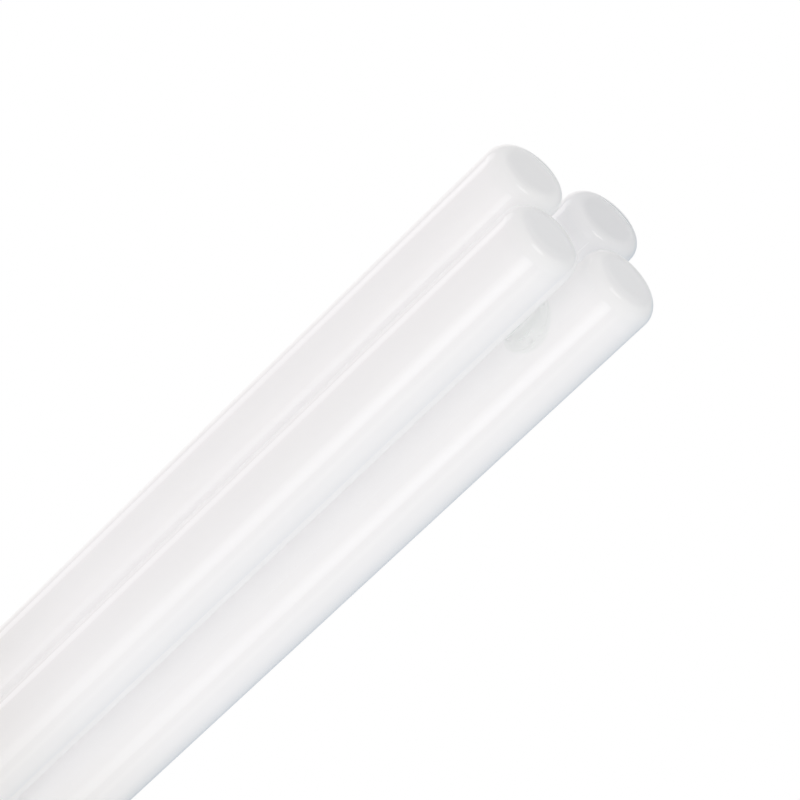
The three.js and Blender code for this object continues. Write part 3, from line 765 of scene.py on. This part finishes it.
glass = glass_material("tube_glass", (0.997, 0.998, 0.997), wave_size=6 * MM,
                       wave_height=0.004 * MM, stretch=(1, 1, 0.1))
clear = glass_material("bridge_glass", (0.994, 0.998, 0.996), wave_size=3 * MM,
                       wave_height=0.02 * MM, haze=(0.22, 0.42), fused=True)
stem_glass = glass_material("stem_glass", (0.992, 0.996, 0.994), wave_size=4 * MM,
                            wave_height=0.02 * MM)
coat = coat_material()
plastic = finish("cap_plastic", ((0.87, 0.865, 0.83), (0.85, 0.84, 0.80)), cloud=9 * MM,
                 roughness=(0.38, 0.5), roughness_cloud=2.5 * MM, bump=(0.22 * MM, 0.012 * MM))
cement = finish("cement", ((0.78, 0.75, 0.68), (0.68, 0.64, 0.56)), cloud=1.6 * MM,
                roughness=(0.85, 1.0), roughness_cloud=1 * MM, bump=(0.5 * MM, 0.08 * MM),
                shine=0.2)
pin_metal = finish("pin_metal", ((0.86, 0.82, 0.70), (0.79, 0.74, 0.60)), cloud=2 * MM,
                   roughness=(0.16, 0.34), roughness_cloud=0.7 * MM,
                   bump=(0.25 * MM, 0.004 * MM), metal=1.0, stretch=(1, 1, 0.2))
lead_metal = finish("lead_metal", ((0.72, 0.60, 0.48), (0.62, 0.50, 0.40)), cloud=1.5 * MM,
                    roughness=(0.25, 0.45), roughness_cloud=0.6 * MM,
                    bump=(0.2 * MM, 0.003 * MM), metal=1.0)
tungsten = finish("tungsten", ((0.36, 0.35, 0.34), (0.28, 0.27, 0.27)), cloud=0.5 * MM,
                  roughness=(0.4, 0.6), roughness_cloud=0.3 * MM,
                  bump=(0.1 * MM, 0.004 * MM), metal=1.0)
amalgam = finish("amalgam_metal", ((0.66, 0.67, 0.69), (0.56, 0.57, 0.60)), cloud=0.7 * MM,
                 roughness=(0.22, 0.42), roughness_cloud=0.4 * MM,
                 bump=(0.2 * MM, 0.006 * MM), metal=1.0)

for letter, place in TUBE_PLACES.items():
    rim_radius, unevenness = RIM_RADII[letter], TIP_UNEVENNESS[letter]
    tube = turned_piece(f"tube_{letter}", glass_profile(rim_radius), place, TUBE_SIDES, unevenness)
    carry(tube, glass, "tube_glass", f"glass_tube_{letter}")
    skin = turned_piece(f"coating_{letter}", coat_profile(rim_radius), place, COAT_SIDES,
                        unevenness)
    carry(skin, coat, "phosphor_coat")

for node, pitch, centre, along_y, drips in (
        ("tip_bridge_ac", PAIR_PITCH, (0, ROW_PITCH / 2, TIP_BRIDGE_LEVEL), False, ()),
        ("tip_bridge_bd", PAIR_PITCH, (0, -ROW_PITCH / 2, TIP_BRIDGE_LEVEL), False, FRONT_DRIPS),
        ("base_bridge_cd", ROW_PITCH, (PAIR_PITCH / 2, 0, BASE_BRIDGE_LEVEL), True, ())):
    neck = bridge_piece(node.replace("bridge", "neck"), pitch, centre, along_y, drips)
    carry(neck, clear, "bridge_glass", node)

for name, node, width in (("shell", "cap_shell", 0.35 * MM), ("floor_plate", "cap_floor", 0.2 * MM),
                          ("post", "centre_post", 0.25 * MM)):
    carry(softened(name, node, width), plastic, "cap_plastic", node)

for number, place in enumerate(PIN_PLACES, 1):
    pin = turned_piece(f"pin_{number}", pin_profile(), place, PIN_SIDES)
    carry(pin, pin_metal, "pin_metal", f"contact_pin_{number}")

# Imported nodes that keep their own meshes
INNER_SURFACES = {
    "stem": stem_glass, "exhaust_tube": stem_glass, "end_cap": stem_glass,
    "electrode_coil": tungsten, "lead_wire": lead_metal, "amalgam": amalgam, "cement": cement,
}
for node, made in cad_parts.items():
    for start, surface in INNER_SURFACES.items():
        if node.startswith(start):
            made.data.materials.clear()
            made.data.materials.append(surface)

add_camera()

floor = mesh_object("floor", [(-FLOOR_HALF, -FLOOR_HALF, 0), (FLOOR_HALF, -FLOOR_HALF, 0),
                              (FLOOR_HALF, FLOOR_HALF, 0), (-FLOOR_HALF, FLOOR_HALF, 0)],
                    [(0, 1, 2, 3)])
floor.data.materials.append(floor_material())
floor.visible_glossy = False
floor.visible_diffuse = False
floor.visible_shadow = False

add_world()

# Light paths long enough for the bright gaps between the tubes and for glass behind glass
for name, count in (("max_bounces", 32), ("diffuse_bounces", 24), ("glossy_bounces", 6),
                    ("transmission_bounces", 24), ("transparent_max_bounces", 64)):
    setattr(bpy.context.scene.cycles, name, count)

bpy.context.scene.view_settings.view_transform = "Standard"
